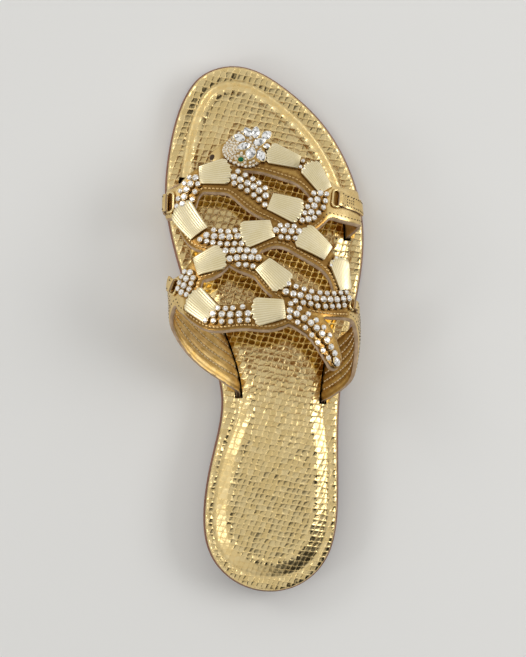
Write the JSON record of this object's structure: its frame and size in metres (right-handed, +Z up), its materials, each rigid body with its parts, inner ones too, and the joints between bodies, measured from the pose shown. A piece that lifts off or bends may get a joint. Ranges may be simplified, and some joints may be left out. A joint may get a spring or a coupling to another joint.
{
  "type": "slide sandal",
  "caption": "Right-foot flat mule sandal: crossing gold leather straps carry a jewelled snake of pleated metal fans, set stones and metal loops, over a scale-embossed footbed.",
  "frame": {"origin": "centre of the bounding box in X and Y, on the floor under the sole", "axes": "+Z up, +Y from heel to toe, +X to the lateral (outer) side of the foot"},
  "size_m": [0.0974, 0.25, 0.0641],
  "materials": {
    "footbed_foil": "glossy gold foil, embossed with small scales",
    "gold_leather": "metallic gold leather, semi-gloss",
    "satin_fan": "satin champagne gold plate, finely pleated",
    "set_stones": "clear cut stones in gold prong cups",
    "eye_stone": "polished green stone",
    "gold_wire": "polished gold plate",
    "outsole_leather": "smooth dark reddish brown, inked edge",
    "heel_leather": "stacked leather board, inked edge",
    "heel_rubber": "matte"
  },
  "bodies": {
    "root": {"outsole": "outsole_leather", "heel": "heel_leather", "heel_top_piece": "heel_rubber", "footbed": "footbed_foil", "upper": "gold_leather", "fan_1": "satin_fan", "fan_2": "satin_fan", "fan_3": "satin_fan", "fan_4": "satin_fan", "fan_5": "satin_fan", "fan_6": "satin_fan", "fan_7": "satin_fan", "fan_8": "satin_fan", "fan_9": "satin_fan", "fan_10": "satin_fan", "fan_11": "satin_fan", "fan_12": "satin_fan", "stones_1": "set_stones", "stones_2": "set_stones", "stones_3": "set_stones", "stones_4": "set_stones", "stones_5": "set_stones", "stones_6": "set_stones", "stones_7": "set_stones", "stones_8": "set_stones", "stones_9": "set_stones", "stones_10": "set_stones", "snake_head": "set_stones", "eye": "eye_stone", "tail_stone": "set_stones", "loop_front_medial": "gold_wire", "loop_front_lateral": "gold_wire", "loop_rear_medial": "gold_wire", "loop_rear_lateral": "gold_wire", "tab_front_medial": "gold_leather", "tab_front_lateral": "gold_leather", "tab_rear_medial": "gold_leather", "tab_rear_lateral": "gold_leather"}
  },
  "joints": []
}
